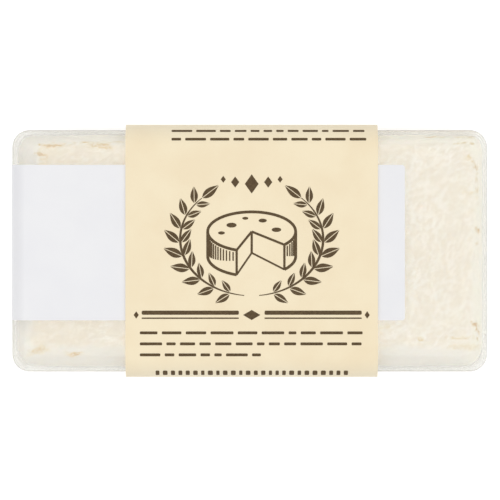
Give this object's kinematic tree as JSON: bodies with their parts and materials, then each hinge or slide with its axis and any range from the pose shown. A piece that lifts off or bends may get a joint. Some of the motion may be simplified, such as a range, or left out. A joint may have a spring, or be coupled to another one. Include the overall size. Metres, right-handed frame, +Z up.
{
  "type": "packed soft-ripened cheese",
  "caption": "Half block of soft white-rinded cheese in a shut clear plastic box, with a plain white label over the lid and a cream paper band round the middle.",
  "frame": {"origin": "on the supporting surface, under the middle of the box, at the underside of the paper band", "axes": "+X along the box towards the end without the label fold, +Y across the box, +Z up through the lid"},
  "size_m": [0.106, 0.0554, 0.0288],
  "materials": {
    "white_rind": "matte",
    "clear_plastic": "gloss",
    "white_label": "satin",
    "cream_paper": "matte",
    "brown_ink": "matte"
  },
  "bodies": {
    "root": {"cheese": "white_rind", "clear_tray": "clear_plastic", "clear_lid": "clear_plastic", "top_label": "white_label", "paper_band": "cream_paper"}
  },
  "joints": []
}
